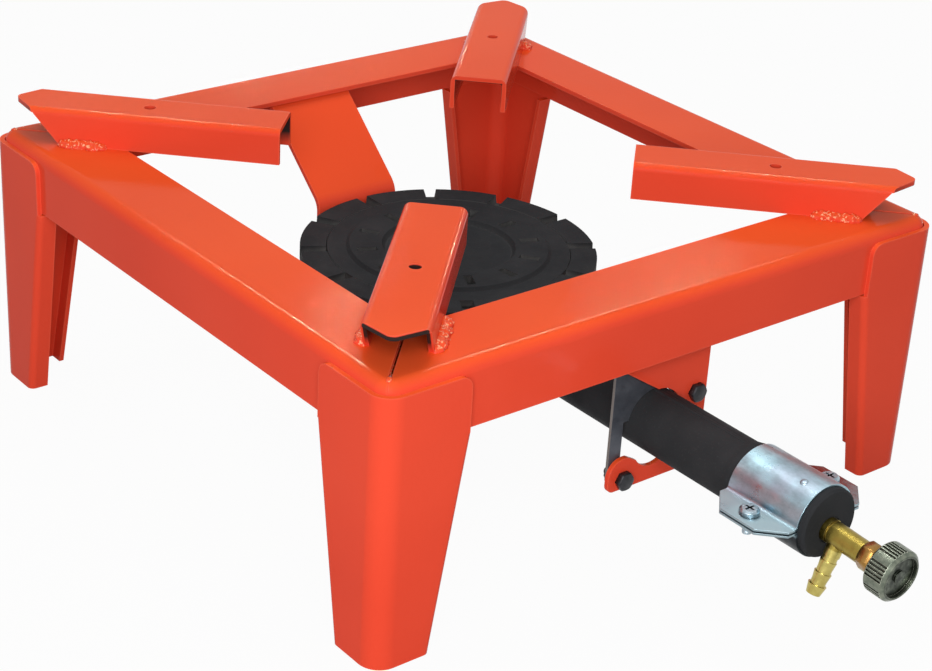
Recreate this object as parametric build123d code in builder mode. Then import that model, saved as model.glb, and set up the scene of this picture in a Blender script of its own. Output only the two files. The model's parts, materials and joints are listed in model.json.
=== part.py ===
# Gas burner stove: a square sheet-steel stand that carries a cast ring burner, fed through a
# long mixing tube by a needle valve. Millimetres, +Z up. The origin is on the floor under the
# middle of the stand, and the mixing tube runs out along -Y.
from build123d import *
import os
from math import cos, radians, sin, sqrt, tan

os.makedirs("parts", exist_ok=True)

# Top frame
frame_width = 400.0  # outside of the skirts, both ways
frame_height = 166.0  # floor to the top of the rails
rail_sheet = 3.0
rail_flange = 48.0  # width of the flat top
rail_skirt = 38.0  # height of the outer side
rail_bend = 7.5  # outer radius of the long fold
rail_corner = 11.0  # outer radius of the skirt at a corner, seen from above
mitre_gap = 1.5  # open joint between two flanges
mitre_weld = 7.0  # closed length of that joint at the outer corner

# Legs
leg_sheet = 3.0
leg_drop = 6.0  # top edge of a leg below the rail top
leg_tab_width = 55.3  # flange widths, measured from the outer corner
leg_knee_width = 57.5
leg_foot_width = 37.0
leg_tab_round = 7.0  # rounded upper corners of the flanges
leg_corner_gap = 0.4  # room between the leg's inner bend and the skirt's corner
leg_lip = 12.0  # depth of the return lips
leg_fold = 4.0  # outer radius of the lip folds
lip_gap = 1.0  # lip below the skirt

# Pot supports, on the diagonals
support_sheet = 3.0
support_width = 36.0
support_height = 22.0
support_bend = 4.5
support_reach = 105.0  # middle of the stand to the inner end
support_tip_inset = 12.0  # pointed tip to the frame's sharp corner
support_point = 15.0  # length of the pointed end
support_undercut = 31.0  # tip to the lower end of the side walls
support_undercut_lean = 15.5  # run of the slanting cut
support_tip_round = 5.0
support_hole = 7.0

# Burner casting
burner_radius = 91.0
burner_offset = 4.0  # bowl's middle behind the stand's middle
burner_drop = 52.0  # rail top down to the bowl's rim
rim_height = 8.0
rim_width = 16.0  # bowl's outer edge to the cap's seat
bowl_shoulder_inset = 15.0  # shoulder inside the bowl's outer edge
bowl_shoulder_drop = 4.0  # shoulder below the underside of the rim
bowl_foot_radius = 50.0
bowl_wall = 6.0
bowl_round = 5.0
flame_slots = 12
flame_slot_top = 8.0
flame_slot_bottom = 6.5
flame_slot_depth = 5.5
tube_drop = 31.0  # bowl's rim down to the tube's axis
tube_radius = 18.1
tube_bore = 14.0  # radius
tube_overhang = 119.0  # front skirt to the end of the tube
jet_end_step = 1.5  # jet end's radius beyond the tube's
jet_end_length = 57.0
jet_end_flare = 7.0
jet_end_wall = 9.0
jet_end_round = 1.2
air_windows = 4
air_window_length = 20.0
air_window_width = 12.0
air_window_setback = 11.0  # end of the tube to the near end of the windows

# Burner cap
cap_clearance = 0.4
cap_edge = 4.0  # thickness where it rests
cap_rest = 6.6  # width of the resting edge
cap_spigot = 4.0
cap_spigot_wall = 6.0
cap_ring_inset = 13.6  # cap's edge to the raised ring that holds the gas slots
cap_ring_width = 20.0
cap_ring_height = 2.0
cap_dish = 1.0  # middle of the cap below the edge
cap_boss_radius = 9.0
cap_slots = 12
cap_slot_width = 5.0
cap_slot_length = 12.0
cap_slot_angle = 6.0

# Rear strap and its bolt
strap_sheet = 3.0
strap_width = 60.0
strap_fold_inset = 4.0  # fold behind the inner edge of the rear flange
strap_slope = 40.6
strap_gap = 4.0  # clear of the bowl's rim
strap_bolt_reach = 30.0  # bowl's middle to the bolt
strap_end = 15.0  # metal beyond the bolt
strap_bolt_boss = 12.0  # radius of the boss it screws into
strap_bolt_boss_height = 6.0
strap_bolt_depth = 9.0  # depth of the hole in the casting
strap_bolt_room = 3.0  # bolt's end to the bottom of the hole
strap_folds = [6.0, 14.0, 6.0]

# Front hanger, saddle plate and the bolts through both
hanger_sheet = 3.0
hanger_setback = 13.0  # outside of the front skirt to the hanger
hanger_left = -32.3
hanger_right = 37.9
hanger_bottom = 38.4  # below the tube's axis
hanger_shoulder = 40.3  # left corner above the tube's axis
hook_clearance = 0.8
hook_top_angle = 90.0
hook_low_angle = -41.6
hook_sag = 14.8  # centre of the lower curve below the tube's axis
hook_mouth_angle = 212.0
ear_top = 18.6  # below the tube's axis
ear_right = -19.0
ear_round = 11.0
plate_round = 4.5
saddle_sheet = 2.0
saddle_clearance = 0.2
saddle_top = 50.0  # above the tube's axis
saddle_left = -30.6
saddle_right_inset = 1.5  # hanger's right edge to the saddle's
saddle_leg = 8.7  # width of the long left leg
saddle_right_foot = 3.0  # above the tube's axis
saddle_round = 12.0
lug_radius = 8.0
bolt_right = (29.3, 9.4)  # bolt positions from the tube's axis
bolt_left = (-21.4, -32.1)
bolt_radius = 3.0
bolt_clearance = 0.2
bolt_flats = 10.0
bolt_head = 4.0
bolt_nut = 5.0
bolt_spare = 3.0  # thread past the nut

# Air sleeve, two half shells clamped round the jet end
sleeve_sheet = 1.2
sleeve_length = 50.0
sleeve_setback = 4.0  # end of the tube to the sleeve
sleeve_clearance = 0.1
sleeve_split = 1.0  # gap between the two halves
sleeve_ear_reach = 18.1  # shell to an ear's outer edge
sleeve_ear_edge = 25.0  # length of an ear's outer edge
sleeve_bend = 2.0
sleeve_screw_reach = 9.1  # shell to a screw's axis
sleeve_screw_radius = 2.5
sleeve_screw_clearance = 0.2
sleeve_screw_head = 5.5  # radius
sleeve_screw_head_height = 3.7
sleeve_screw_length = 11.5
sleeve_cross_length = 6.0
sleeve_cross_width = 1.2
sleeve_cross_depth = 1.8
sleeve_nut_flats = 8.0
sleeve_nut_height = 4.0

# Needle valve; distances run outward along its own axis from the end of the tube
valve_drop = 3.0  # valve's axis below the tube's axis
valve_droop = 3.5  # degrees below level
valve_seat_depth = 0.8  # flat cut into the end of the tube
valve_seat_room = 1.0  # flat beyond the collar
valve_radius = 6.5
valve_collar_radius = 6.7
valve_collar = 2.5
valve_groove = 1.2  # length and depth of the groove behind the collar
valve_groove_depth = 0.8
valve_length = 25.0
valve_neck_radius = 5.2
valve_neck = 6.0
valve_stem_radius = 5.0
valve_stem_overlap = 0.5  # stem past the inside of the tube's end wall
valve_chamber = 1.85  # seat to the straight part of the bore
valve_seat_radius = 1.2
jet_thread_radius = 2.5
jet_thread = 5.0
jet_head_radius = 3.8
jet_head = 7.0
jet_tip_radius = 2.0
jet_orifice = 0.5
thread_clearance = 0.05  # screwed pieces, whose threads are left plain
barb_place = 7.8
barb_clock = 22.0  # degrees from straight down, towards -X
barb_root_radius = 4.6
barb_stem_radius = 4.1
barb_root = 11.0  # distances from the valve's axis
barb_ridges = [(14.0, 4.6), (21.0, 4.8), (28.0, 5.1)]
barb_ridge_taper = 4.5
barb_tip = 33.5
barb_tip_radius = 3.9
barb_bore = 2.1
gland_flats = 14.0
gland_height = 8.5
packing_radius = 4.2
packing_height = 3.0
spindle_radius = 3.0
spindle_clearance = 0.06
spindle_neck_radius = 1.8
spindle_neck = 15.0
needle_tip_radius = 0.4
needle_length = 1.5
needle_clearance = 0.1
knob_gap = 1.0  # gland nut to the knob's hub
knob_radius = 14.5
knob_hub_radius = 5.5
knob_hub = 2.0
knob_height = 13.5
knob_edge = 2.0
knob_face_radius = 11.5
knob_dish = 2.4
knob_boss_radius = 3.5
knob_grip_groups = 6
knob_grip_ribs = 5
knob_grip_turn = -22.0  # degrees round to the first group of ribs
knob_rib_pitch = 2.1
knob_rib_depth = 0.8
knob_floor = 2.0  # metal in front of the spindle's end

# Places worked out from the sizes above
front_y = -frame_width / 2
rim_z = frame_height - burner_drop
tube_z = rim_z - tube_drop
tube_end_y = front_y - tube_overhang
bowl_floor_z = tube_z - tube_bore
bowl_foot_z = bowl_floor_z - bowl_wall
rim_under_z = rim_z - rim_height
bowl_shoulder_z = rim_under_z - bowl_shoulder_drop
bowl_shoulder_radius = burner_radius - bowl_shoulder_inset
jet_end_radius = tube_radius + jet_end_step
cap_seat_radius = burner_radius - rim_width
cap_radius = cap_seat_radius - cap_clearance
ledge_z = rim_z - cap_edge
throat_radius = cap_radius - cap_rest + cap_clearance
skirt_foot_z = frame_height - rail_skirt
bowl_axis = Axis((0, burner_offset, 0), (0, 0, 1))
tube_axis = Axis((0, 0, tube_z), (0, 1, 0))
bowl_section = Plane.XZ.offset(-burner_offset)


def finish(piece, name):
    """Label a finished piece and write it to its own file."""
    piece.part.label = name
    export_step(piece.part, f"parts/{name}.step")


def turned_plane(origin, radial, along):
    """Plane for a turned profile: local x is the radius and local y runs along the axis."""
    return Plane(origin=origin, x_dir=radial, z_dir=Vector(*radial).cross(Vector(*along)))


# Rails: one folded ring, slotted along the diagonals and parted into four
rail_opening = frame_width - 2 * rail_flange
corner_reach = frame_width / 2 * sqrt(2)
mitre_end = corner_reach - rail_corner * (sqrt(2) - 1) - mitre_weld

with BuildPart() as rail_ring:
    with BuildSketch(Plane.XY.offset(skirt_foot_z)):
        RectangleRounded(frame_width, frame_width, rail_corner)
    extrude(amount=rail_skirt)
    fillet(rail_ring.faces().sort_by(Axis.Z)[-1].edges(), radius=rail_bend)
    offset(amount=-rail_sheet, openings=rail_ring.faces().sort_by(Axis.Z)[0])
    with BuildSketch(Plane.XY.offset(frame_height)):
        Rectangle(rail_opening, rail_opening)
        with PolarLocations(mitre_end / 2, 4, start_angle=45):
            Rectangle(mitre_end, mitre_gap)
    extrude(amount=-2 * rail_sheet, mode=Mode.SUBTRACT)

for rail_name, rail_turn in (("front_rail", 0), ("right_rail", 90), ("rear_rail", 180), ("left_rail", 270)):
    with BuildPart() as rail:
        add(rail_ring.part)
        with BuildSketch():
            Polygon((0, 0), (-frame_width, -frame_width), (frame_width, -frame_width),
                    rotation=rail_turn)
        extrude(amount=frame_height, mode=Mode.INTERSECT)
    finish(rail, rail_name)

# Legs: made for the front left corner and turned to the other three
leg_out = front_y - leg_sheet
leg_top_z = frame_height - leg_drop
knee_z = skirt_foot_z - lip_gap
leg_bend = rail_corner - leg_corner_gap / (sqrt(2) - 1) + leg_sheet
lip_thickness = leg_sheet * sqrt(1 + ((leg_knee_width - leg_foot_width) / knee_z) ** 2)
flange_planes = [Plane((leg_out, leg_out, 0), (1, 0, 0), (0, -1, 0)),
                 Plane((leg_out, leg_out, 0), (0, -1, 0), (-1, 0, 0))]
flange_signs = [1, -1]


def angle_sheet(height):
    """Plan of the two flanges with the bend between them, drawn at a height."""
    with BuildSketch(Plane.XY.offset(height)) as plan:
        with BuildLine():
            FilletPolyline((leg_out + leg_knee_width, leg_out), (leg_out, leg_out),
                           (leg_out, leg_out + leg_knee_width), radius=leg_bend)
            offset(amount=leg_sheet, side=Side.RIGHT)
        make_face()
    return plan.sketch


with BuildPart() as leg_tabs:
    add(angle_sheet(knee_z))
    extrude(amount=leg_top_z - knee_z)
    for plane, sign in zip(flange_planes, flange_signs):
        with BuildSketch(plane):
            with BuildLine():
                FilletPolyline((0, leg_top_z), (sign * leg_tab_width, leg_top_z), (sign * leg_tab_width, knee_z),
                               radius=[leg_tab_round])
                Polyline((sign * leg_tab_width, knee_z), (0, knee_z), (0, leg_top_z))
            make_face()
        extrude(amount=leg_knee_width, both=True, mode=Mode.INTERSECT)

with BuildPart() as leg_pattern:
    add(angle_sheet(0))
    extrude(amount=knee_z)
    for plane, sign in zip(flange_planes, flange_signs):
        with BuildSketch(plane):
            Polygon((0, 0), (sign * leg_foot_width, 0), (sign * leg_knee_width, knee_z), (0, knee_z))
        extrude(amount=leg_knee_width, both=True, mode=Mode.INTERSECT)
    for plane, sign in zip(flange_planes, flange_signs):
        with BuildSketch(plane):
            Polygon((sign * (leg_foot_width - lip_thickness), 0), (sign * leg_foot_width, 0),
                    (sign * leg_knee_width, knee_z), (sign * (leg_knee_width - lip_thickness), knee_z))
        extrude(amount=-leg_lip)
    fold_middle = leg_out + (leg_foot_width + leg_knee_width) / 2
    for fold_x, fold_y in ((fold_middle, leg_out), (leg_out, fold_middle)):
        fold = leg_pattern.edges().sort_by_distance((fold_x, fold_y, knee_z / 2))[0]
        fillet(fold, radius=leg_fold)
    add(leg_tabs.part)

for leg_name, leg_turn in (("leg_front_left", 0), ("leg_front_right", 90),
                           ("leg_rear_right", 180), ("leg_rear_left", 270)):
    with BuildPart() as leg:
        add(leg_pattern.part, rotation=(0, 0, leg_turn))
    finish(leg, leg_name)

# Pot supports: an inverted channel along +X, turned onto each diagonal
support_tip = corner_reach - support_tip_inset
support_shoulder = support_tip - support_point
support_foot = support_tip - support_undercut
support_top_z = frame_height + support_height
web_under_z = support_top_z - support_sheet
support_half = support_width / 2

with BuildPart() as support_pattern:
    with BuildSketch(Plane.YZ.offset(support_reach)):
        with BuildLine():
            FilletPolyline((-support_half, frame_height), (-support_half, support_top_z),
                           (support_half, support_top_z), (support_half, frame_height), radius=support_bend)
            offset(amount=support_sheet, side=Side.RIGHT)
        make_face()
    extrude(amount=support_tip - support_reach)
    with BuildSketch(Plane.XY.offset(frame_height)):
        with BuildLine():
            FilletPolyline((support_shoulder, -support_half), (support_tip, 0), (support_shoulder, support_half),
                           radius=support_tip_round)
            Polyline((support_shoulder, support_half), (support_reach, support_half),
                     (support_reach, -support_half), (support_shoulder, -support_half))
        make_face()
    extrude(amount=support_height, mode=Mode.INTERSECT)
    with BuildSketch(Plane.XZ):
        Polygon((support_foot, frame_height), (support_foot + support_undercut_lean, web_under_z),
                (support_tip, web_under_z), (support_tip, frame_height))
    extrude(amount=support_half, both=True, mode=Mode.SUBTRACT)
    with Locations(((support_reach + support_tip) / 2, 0, support_top_z)):
        Hole(support_hole / 2, depth=2 * support_sheet)

for support_name, support_turn in (("support_rear_right", 45), ("support_rear_left", 135),
                                   ("support_front_left", 225), ("support_front_right", 315)):
    with BuildPart() as support:
        add(support_pattern.part, rotation=(0, 0, support_turn))
    finish(support, support_name)

# Burner casting: bowl, mixing tube and jet end in one piece
valve_along = (0, -cos(radians(valve_droop)), -sin(radians(valve_droop)))
valve_origin = (0, tube_end_y, tube_z - valve_drop)
valve_axis = Axis(valve_origin, valve_along)
valve_section = turned_plane(valve_origin, (1, 0, 0), valve_along)
valve_face = Plane(valve_origin, (1, 0, 0), valve_along)
strap_bolt_y = burner_offset + strap_bolt_reach

with BuildPart() as flame_slot:
    with BuildSketch(Plane.YZ.offset(throat_radius)):
        Polygon((-flame_slot_top / 2, rim_z), (flame_slot_top / 2, rim_z),
                (flame_slot_bottom / 2, rim_z - flame_slot_depth),
                (-flame_slot_bottom / 2, rim_z - flame_slot_depth))
    extrude(amount=burner_radius - throat_radius)

with BuildPart() as burner_body:
    with BuildSketch(bowl_section) as bowl_outline:
        Polygon((0, bowl_foot_z), (bowl_foot_radius, bowl_foot_z), (bowl_shoulder_radius, bowl_shoulder_z),
                (burner_radius, rim_under_z), (burner_radius, rim_z), (0, rim_z))
        chamfer(bowl_outline.vertices().sort_by_distance((bowl_foot_radius, bowl_foot_z))[0],
                length=bowl_round)
    revolve(axis=bowl_axis)
    with BuildSketch(Plane.YZ):
        Polygon((burner_offset, tube_z), (burner_offset, tube_z + tube_radius),
                (tube_end_y + jet_end_length + jet_end_flare, tube_z + tube_radius),
                (tube_end_y + jet_end_length, tube_z + jet_end_radius),
                (tube_end_y, tube_z + jet_end_radius), (tube_end_y, tube_z))
    revolve(axis=tube_axis)
    chamfer(burner_body.edges().sort_by(Axis.Y)[0], length=jet_end_round)
    with BuildSketch(bowl_section):
        Polygon((0, bowl_floor_z), (bowl_foot_radius, bowl_floor_z),
                (bowl_shoulder_radius - bowl_wall, bowl_shoulder_z), (throat_radius, ledge_z),
                (cap_seat_radius, ledge_z), (cap_seat_radius, rim_z), (0, rim_z))
    revolve(axis=bowl_axis, mode=Mode.SUBTRACT)
    with BuildSketch(Plane.XZ.offset(-burner_offset)):
        with Locations((0, tube_z)):
            Circle(tube_bore)
    extrude(amount=burner_offset - tube_end_y - jet_end_wall, mode=Mode.SUBTRACT)
    with Locations((0, burner_offset, 0)):
        with PolarLocations(0, flame_slots):
            add(flame_slot.part, mode=Mode.SUBTRACT)
    for window in range(air_windows):
        window_turn = (window + 0.5) * 360 / air_windows
        window_out = (cos(radians(window_turn)), 0, sin(radians(window_turn)))
        with BuildSketch(Plane((0, tube_end_y + air_window_setback, tube_z), (0, 1, 0), window_out)):
            with Locations((air_window_length / 2, 0)):
                Rectangle(air_window_length, air_window_width)
        extrude(amount=2 * jet_end_radius, mode=Mode.SUBTRACT)
    with BuildSketch(valve_face.offset(-valve_seat_depth)):
        Circle(valve_collar_radius + valve_seat_room)
    extrude(amount=valve_length, mode=Mode.SUBTRACT)
    with BuildSketch(valve_face):
        Circle(valve_stem_radius + thread_clearance)
    extrude(amount=-2 * jet_end_wall, mode=Mode.SUBTRACT)
    with BuildSketch(Plane.XY.offset(bowl_floor_z)):
        with Locations((0, strap_bolt_y)):
            Circle(strap_bolt_boss)
    extrude(amount=strap_bolt_boss_height)
    with BuildSketch(Plane.XY.offset(bowl_foot_z)):
        with Locations((0, strap_bolt_y)):
            Circle(bolt_radius + bolt_clearance)
    extrude(amount=strap_bolt_depth, mode=Mode.SUBTRACT)
finish(burner_body, "burner_body")

# Burner cap: rests on the bowl's ledge and is centred by its spigot
spigot_radius = throat_radius - cap_clearance
cap_ring_outer = cap_radius - cap_ring_inset
cap_ring_inner = cap_ring_outer - cap_ring_width
cap_slot_middle = (cap_ring_inner + cap_ring_outer) / 2
ring_top_z = rim_z + cap_ring_height
dish_z = rim_z - cap_dish

with BuildPart() as burner_cap:
    with BuildSketch(bowl_section):
        Polygon((0, ledge_z), (spigot_radius - cap_spigot_wall, ledge_z),
                (spigot_radius - cap_spigot_wall, ledge_z - cap_spigot), (spigot_radius, ledge_z - cap_spigot),
                (spigot_radius, ledge_z), (cap_radius, ledge_z), (cap_radius, rim_z),
                (cap_ring_outer + cap_ring_height, rim_z), (cap_ring_outer, ring_top_z),
                (cap_ring_inner, ring_top_z), (cap_ring_inner - cap_ring_height, dish_z),
                (cap_boss_radius, dish_z), (cap_boss_radius - cap_ring_height, ring_top_z),
                (0, ring_top_z))
    revolve(axis=bowl_axis)
    with BuildSketch(Plane.XY.offset(ledge_z)):
        with Locations((0, burner_offset)):
            with PolarLocations(cap_slot_middle, cap_slots, start_angle=cap_slot_angle):
                Rectangle(cap_slot_length, cap_slot_width)
    extrude(amount=cap_edge + cap_ring_height, mode=Mode.SUBTRACT)
finish(burner_cap, "burner_cap")

# Rear strap: down from the rear flange, past the rim and in under the bowl
strap_top_z = frame_height - rail_sheet
strap_fold_y = frame_width / 2 - rail_flange + strap_fold_inset
strap_drop_y = burner_offset + burner_radius + strap_gap
strap_knee_z = strap_top_z - (strap_fold_y - strap_drop_y) * tan(radians(strap_slope))

with BuildPart() as rear_strap:
    with BuildSketch(Plane.YZ.offset(-strap_width / 2)):
        with BuildLine():
            FilletPolyline((frame_width / 2 - rail_bend, strap_top_z), (strap_fold_y, strap_top_z),
                           (strap_drop_y, strap_knee_z), (strap_drop_y, bowl_foot_z),
                           (strap_bolt_y - strap_end, bowl_foot_z), radius=strap_folds)
            offset(amount=strap_sheet, side=Side.LEFT)
        make_face()
    extrude(amount=strap_width)
    with Locations((0, strap_bolt_y, bowl_foot_z)):
        Hole(bolt_radius + bolt_clearance, depth=2 * strap_sheet)
finish(rear_strap, "rear_strap")

with BuildPart() as strap_bolt:
    with BuildSketch(Plane.XY.offset(bowl_foot_z - strap_sheet)):
        with Locations((0, strap_bolt_y)):
            RegularPolygon(bolt_flats / 2, 6, major_radius=False)
    extrude(amount=-bolt_head)
    with BuildSketch(Plane.XY.offset(bowl_foot_z - strap_sheet)):
        with Locations((0, strap_bolt_y)):
            Circle(bolt_radius)
    extrude(amount=strap_sheet + strap_bolt_depth - strap_bolt_room)
finish(strap_bolt, "strap_bolt")

# Front hanger: a plate welded under the front flange, with a hook that opens to the left
hanger_front_y = front_y + hanger_setback
saddle_front_y = hanger_front_y + hanger_sheet
nut_front_y = saddle_front_y + saddle_sheet
hook_radius = tube_radius + hook_clearance


def on_tube(radius, angle, drop=0.0):
    """Point at an angle on a circle, in the plane across the tube, below its axis by drop."""
    return (radius * cos(radians(angle)), radius * sin(radians(angle)) - drop)


hook_top = on_tube(hook_radius, hook_top_angle)
hook_low = on_tube(hook_radius, hook_low_angle)
hook_side = on_tube(hook_radius, (hook_top_angle + hook_low_angle) / 2)
sag_radius = sqrt(hook_low[0] ** 2 + (hook_low[1] + hook_sag) ** 2)
sag_bottom = on_tube(sag_radius, 270, hook_sag)
sag_end = on_tube(sag_radius, hook_mouth_angle, hook_sag)
hanger_top = strap_top_z - tube_z

with BuildPart() as burner_hanger:
    with BuildSketch(Plane((0, hanger_front_y, tube_z), (1, 0, 0), (0, -1, 0))):
        with BuildLine():
            ThreePointArc(hook_top, hook_side, hook_low)
            ThreePointArc(hook_low, sag_bottom, sag_end)
            Line(sag_end, (ear_right, -ear_top))
            FilletPolyline((ear_right, -ear_top), (hanger_left, -ear_top), (hanger_left, -hanger_bottom),
                           (hanger_right, -hanger_bottom), (hanger_right, hanger_top),
                           radius=[ear_round, plate_round, plate_round])
            Polyline((hanger_right, hanger_top), (hanger_left, hanger_top), (hanger_left, hanger_shoulder), hook_top)
        make_face()
        with Locations(bolt_right, bolt_left):
            Circle(bolt_radius + bolt_clearance, mode=Mode.SUBTRACT)
    extrude(amount=-hanger_sheet)
finish(burner_hanger, "burner_hanger")

# Saddle plate: an arch over the tube and a long leg on the left with a lug at its bolt
saddle_right = hanger_right - saddle_right_inset

with BuildPart() as saddle_plate:
    with BuildSketch(Plane((0, saddle_front_y, tube_z), (1, 0, 0), (0, -1, 0))) as saddle_outline:
        Polygon((saddle_left, 0), (saddle_left + saddle_leg, 0), (saddle_left + saddle_leg, saddle_right_foot),
                (saddle_right, saddle_right_foot), (saddle_right, saddle_top), (saddle_left, saddle_top))
        fillet(saddle_outline.vertices().group_by(Axis.Y)[-1], radius=saddle_round)
        Polygon((saddle_left, saddle_top / 2), (saddle_left, bolt_left[1]),
                (saddle_left + saddle_leg, bolt_left[1]), (saddle_left + saddle_leg, saddle_top / 2))
        with Locations(bolt_left):
            Circle(lug_radius)
        Circle(tube_radius + saddle_clearance, mode=Mode.SUBTRACT)
        with Locations(bolt_right, bolt_left):
            Circle(bolt_radius + bolt_clearance, mode=Mode.SUBTRACT)
    extrude(amount=-saddle_sheet)
finish(saddle_plate, "saddle_plate")

with BuildPart() as hanger_bolts:
    head_plane = Plane((0, hanger_front_y, tube_z), (1, 0, 0), (0, -1, 0))
    with BuildSketch(head_plane):
        with Locations(bolt_right, bolt_left):
            RegularPolygon(bolt_flats / 2, 6, major_radius=False)
    extrude(amount=bolt_head)
    with BuildSketch(head_plane):
        with Locations(bolt_right, bolt_left):
            Circle(bolt_radius)
    extrude(amount=-(hanger_sheet + saddle_sheet + bolt_nut + bolt_spare))
finish(hanger_bolts, "hanger_bolts")

with BuildPart() as hanger_nuts:
    with BuildSketch(Plane((0, nut_front_y, tube_z), (1, 0, 0), (0, -1, 0))):
        with Locations(bolt_right, bolt_left):
            RegularPolygon(bolt_flats / 2, 6, major_radius=False)
            Circle(bolt_radius + bolt_clearance, mode=Mode.SUBTRACT)
    extrude(amount=-bolt_nut)
finish(hanger_nuts, "hanger_nuts")

# Air sleeve: the upper half shell is drawn, and the lower one is its mirror image
sleeve_front_y = tube_end_y + sleeve_setback
sleeve_middle_y = sleeve_front_y + sleeve_length / 2
sleeve_inner = jet_end_radius + sleeve_clearance
sleeve_outer = sleeve_inner + sleeve_sheet
ear_edge_x = sleeve_outer + sleeve_ear_reach
sleeve_screw_x = sleeve_outer + sleeve_screw_reach
ear_under = sleeve_split / 2
ear_over = ear_under + sleeve_sheet
ear_bevel = (sleeve_length - sleeve_ear_edge) / 2

with BuildPart() as air_sleeve_upper:
    with BuildSketch(Plane((0, sleeve_front_y, tube_z), (1, 0, 0), (0, -1, 0))) as shell:
        Circle(sleeve_outer)
        with Locations((0, (ear_under + ear_over) / 2)):
            Rectangle(2 * ear_edge_x, sleeve_sheet)
        Circle(sleeve_inner, mode=Mode.SUBTRACT)
        with Locations((0, ear_under)):
            Rectangle(2 * ear_edge_x, sleeve_outer + ear_under, align=(Align.CENTER, Align.MAX),
                      mode=Mode.SUBTRACT)
        shell_foot = sqrt(sleeve_outer**2 - ear_over**2)
        for side in (-1, 1):
            foot = shell.vertices().sort_by_distance((side * shell_foot, ear_over))[0]
            fillet(foot, radius=sleeve_bend)
    extrude(amount=-sleeve_length)
    with BuildSketch(Plane.XY.offset(tube_z)):
        for side in (-1, 1):
            for end in (-1, 1):
                edge_y = sleeve_middle_y + end * sleeve_ear_edge / 2
                tip_y = edge_y + end * ear_bevel
                Polygon((side * ear_edge_x, edge_y), (side * ear_edge_x, tip_y),
                        (side * (ear_edge_x - ear_bevel), tip_y))
    extrude(amount=sleeve_outer, mode=Mode.SUBTRACT)
    with Locations((-sleeve_screw_x, sleeve_middle_y, tube_z + ear_over),
                   (sleeve_screw_x, sleeve_middle_y, tube_z + ear_over)):
        Hole(sleeve_screw_radius + sleeve_screw_clearance, depth=2 * sleeve_sheet)
finish(air_sleeve_upper, "air_sleeve_upper")

with BuildPart() as air_sleeve_lower:
    mirror(air_sleeve_upper.part, about=Plane.XY.offset(tube_z))
finish(air_sleeve_lower, "air_sleeve_lower")

with BuildPart() as sleeve_screws:
    with BuildSketch(Plane.XY.offset(tube_z + ear_over)):
        with Locations((-sleeve_screw_x, sleeve_middle_y), (sleeve_screw_x, sleeve_middle_y)):
            Circle(sleeve_screw_head)
    extrude(amount=sleeve_screw_head_height)
    chamfer(sleeve_screws.faces().group_by(Axis.Z)[-1].edges(), length=sleeve_screw_head_height / 3)
    with BuildSketch(Plane.XY.offset(tube_z + ear_over)):
        with Locations((-sleeve_screw_x, sleeve_middle_y), (sleeve_screw_x, sleeve_middle_y)):
            Circle(sleeve_screw_radius)
    extrude(amount=-sleeve_screw_length)
    with BuildSketch(Plane.XY.offset(tube_z + ear_over + sleeve_screw_head_height)):
        with Locations((-sleeve_screw_x, sleeve_middle_y), (sleeve_screw_x, sleeve_middle_y)):
            Rectangle(sleeve_cross_length, sleeve_cross_width)
            Rectangle(sleeve_cross_width, sleeve_cross_length)
    extrude(amount=-sleeve_cross_depth, mode=Mode.SUBTRACT)
finish(sleeve_screws, "sleeve_screws")

with BuildPart() as sleeve_nuts:
    with BuildSketch(Plane.XY.offset(tube_z - ear_over)):
        with Locations((-sleeve_screw_x, sleeve_middle_y), (sleeve_screw_x, sleeve_middle_y)):
            RegularPolygon(sleeve_nut_flats / 2, 6, major_radius=False)
            Circle(sleeve_screw_radius + sleeve_screw_clearance, mode=Mode.SUBTRACT)
    extrude(amount=-sleeve_nut_height)
finish(sleeve_nuts, "sleeve_nuts")

# Valve body with its hose barb; profiles are (radius, distance along the valve)
stem_end = -(jet_end_wall + valve_stem_overlap)
jet_seat = stem_end + jet_thread
spindle_bore = spindle_radius + spindle_clearance
groove_radius = valve_radius - valve_groove_depth
groove_end = valve_collar + valve_groove
neck_end = valve_length + valve_neck
packing_floor = neck_end - packing_height
barb_out = (valve_face.x_dir * -sin(radians(barb_clock)) - valve_face.y_dir * cos(radians(barb_clock)))
barb_origin = Vector(*valve_origin) + Vector(*valve_along) * barb_place
barb_section = turned_plane(barb_origin, valve_along, barb_out)
barb_axis = Axis(barb_origin, barb_out)

with BuildPart() as valve_body:
    with BuildSketch(valve_section):
        Polygon((0, stem_end), (valve_stem_radius, stem_end), (valve_stem_radius, -valve_seat_depth),
                (valve_collar_radius, -valve_seat_depth), (valve_collar_radius, valve_collar),
                (groove_radius, valve_collar), (groove_radius, groove_end), (valve_radius, groove_end),
                (valve_radius, valve_length), (valve_neck_radius, valve_length),
                (valve_neck_radius, neck_end), (0, neck_end))
    revolve(axis=valve_axis)
    with BuildSketch(barb_section):
        with BuildLine():
            barb_points = [(0, 0), (barb_root_radius, 0), (barb_root_radius, barb_root),
                           (barb_stem_radius, barb_root)]
            for ridge_place, ridge_radius in barb_ridges:
                barb_points += [(barb_stem_radius, ridge_place), (ridge_radius, ridge_place),
                                (barb_stem_radius, ridge_place + barb_ridge_taper)]
            barb_points += [(barb_tip_radius, barb_tip), (0, barb_tip), (0, 0)]
            Polyline(*barb_points)
        make_face()
    revolve(axis=barb_axis)
    with BuildSketch(valve_section):
        Polygon((0, stem_end), (jet_thread_radius, stem_end), (jet_thread_radius, jet_seat),
                (valve_seat_radius, jet_seat), (valve_seat_radius, 0), (spindle_bore, valve_chamber),
                (spindle_bore, packing_floor), (packing_radius, packing_floor), (packing_radius, neck_end),
                (0, neck_end))
    revolve(axis=valve_axis, mode=Mode.SUBTRACT)
    with BuildSketch(Plane(barb_origin, valve_along, barb_out)):
        Circle(barb_bore)
    extrude(amount=barb_tip, mode=Mode.SUBTRACT)
finish(valve_body, "valve_body")

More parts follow.
